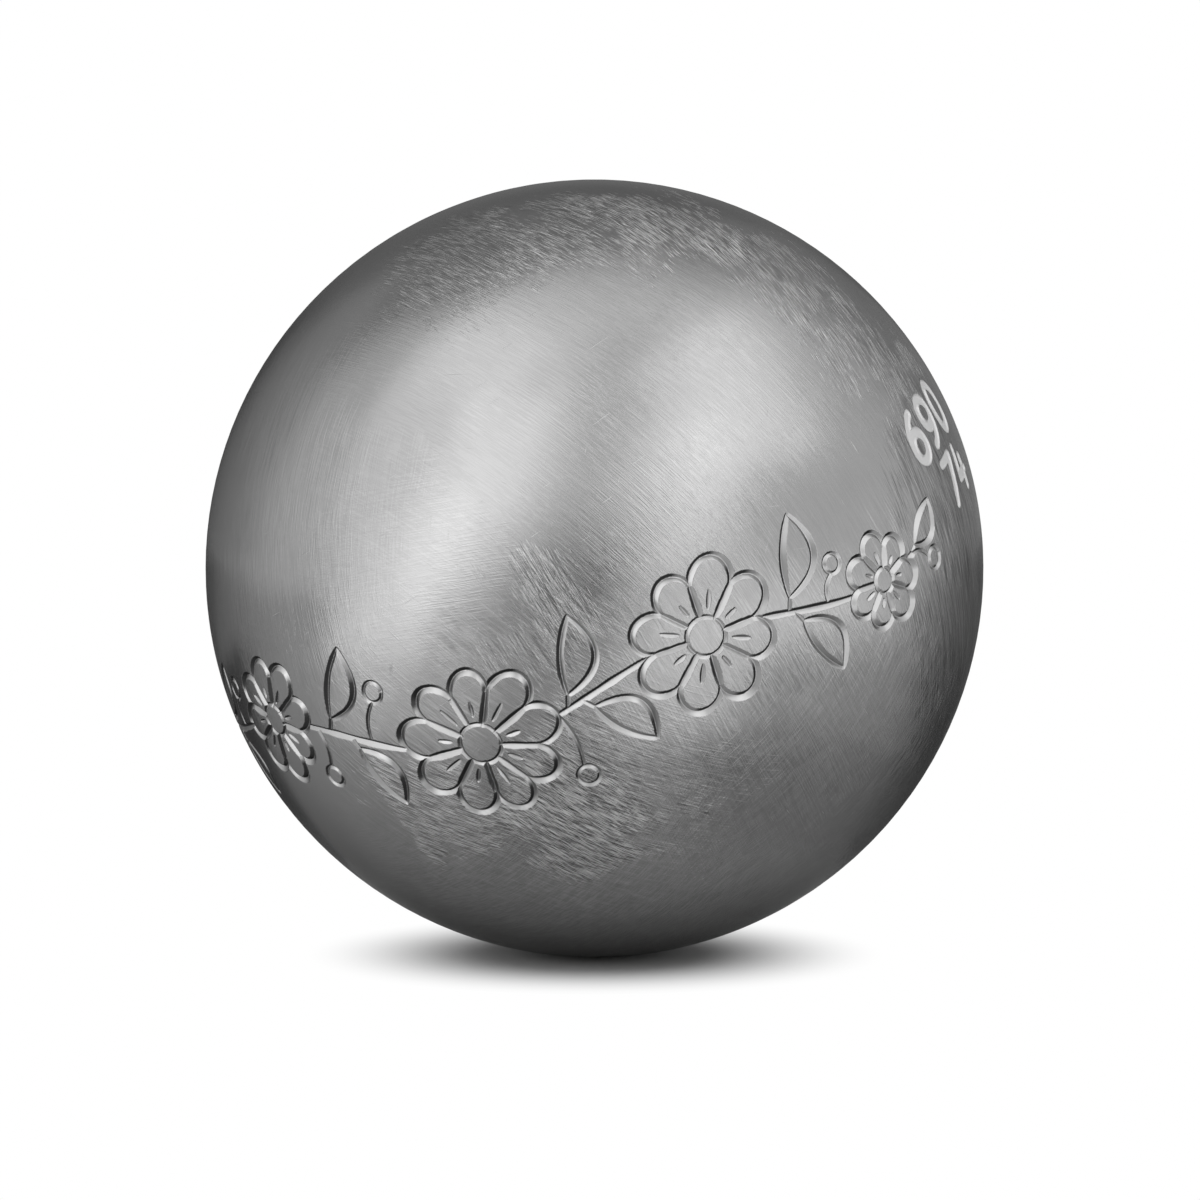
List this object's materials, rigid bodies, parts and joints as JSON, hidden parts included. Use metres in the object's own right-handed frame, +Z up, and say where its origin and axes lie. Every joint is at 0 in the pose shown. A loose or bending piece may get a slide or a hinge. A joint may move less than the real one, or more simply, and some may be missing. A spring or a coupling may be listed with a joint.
{
  "type": "petanque boule",
  "caption": "Hollow brushed-steel petanque boule: a heavy throwing ball of welded half shells, with an engraved garland of flowers and leaves and plain engraved numbers.",
  "frame": {"origin": "centre of the ball", "axes": "+Z up as the ball lies on the ground; +X to the right and +Y away from the viewer in the pictured view; the weld's own axis leans 23 degrees from +Z towards a compass direction of 214 degrees from +X"},
  "size_m": [0.074, 0.074, 0.074],
  "materials": {
    "shell_steel": "brushed satin, engraved",
    "weld_steel": "turned flush and brushed with the shells"
  },
  "bodies": {
    "root": {"upper_half_shell": "shell_steel", "lower_half_shell": "shell_steel", "weld_bead": "weld_steel"}
  },
  "joints": []
}
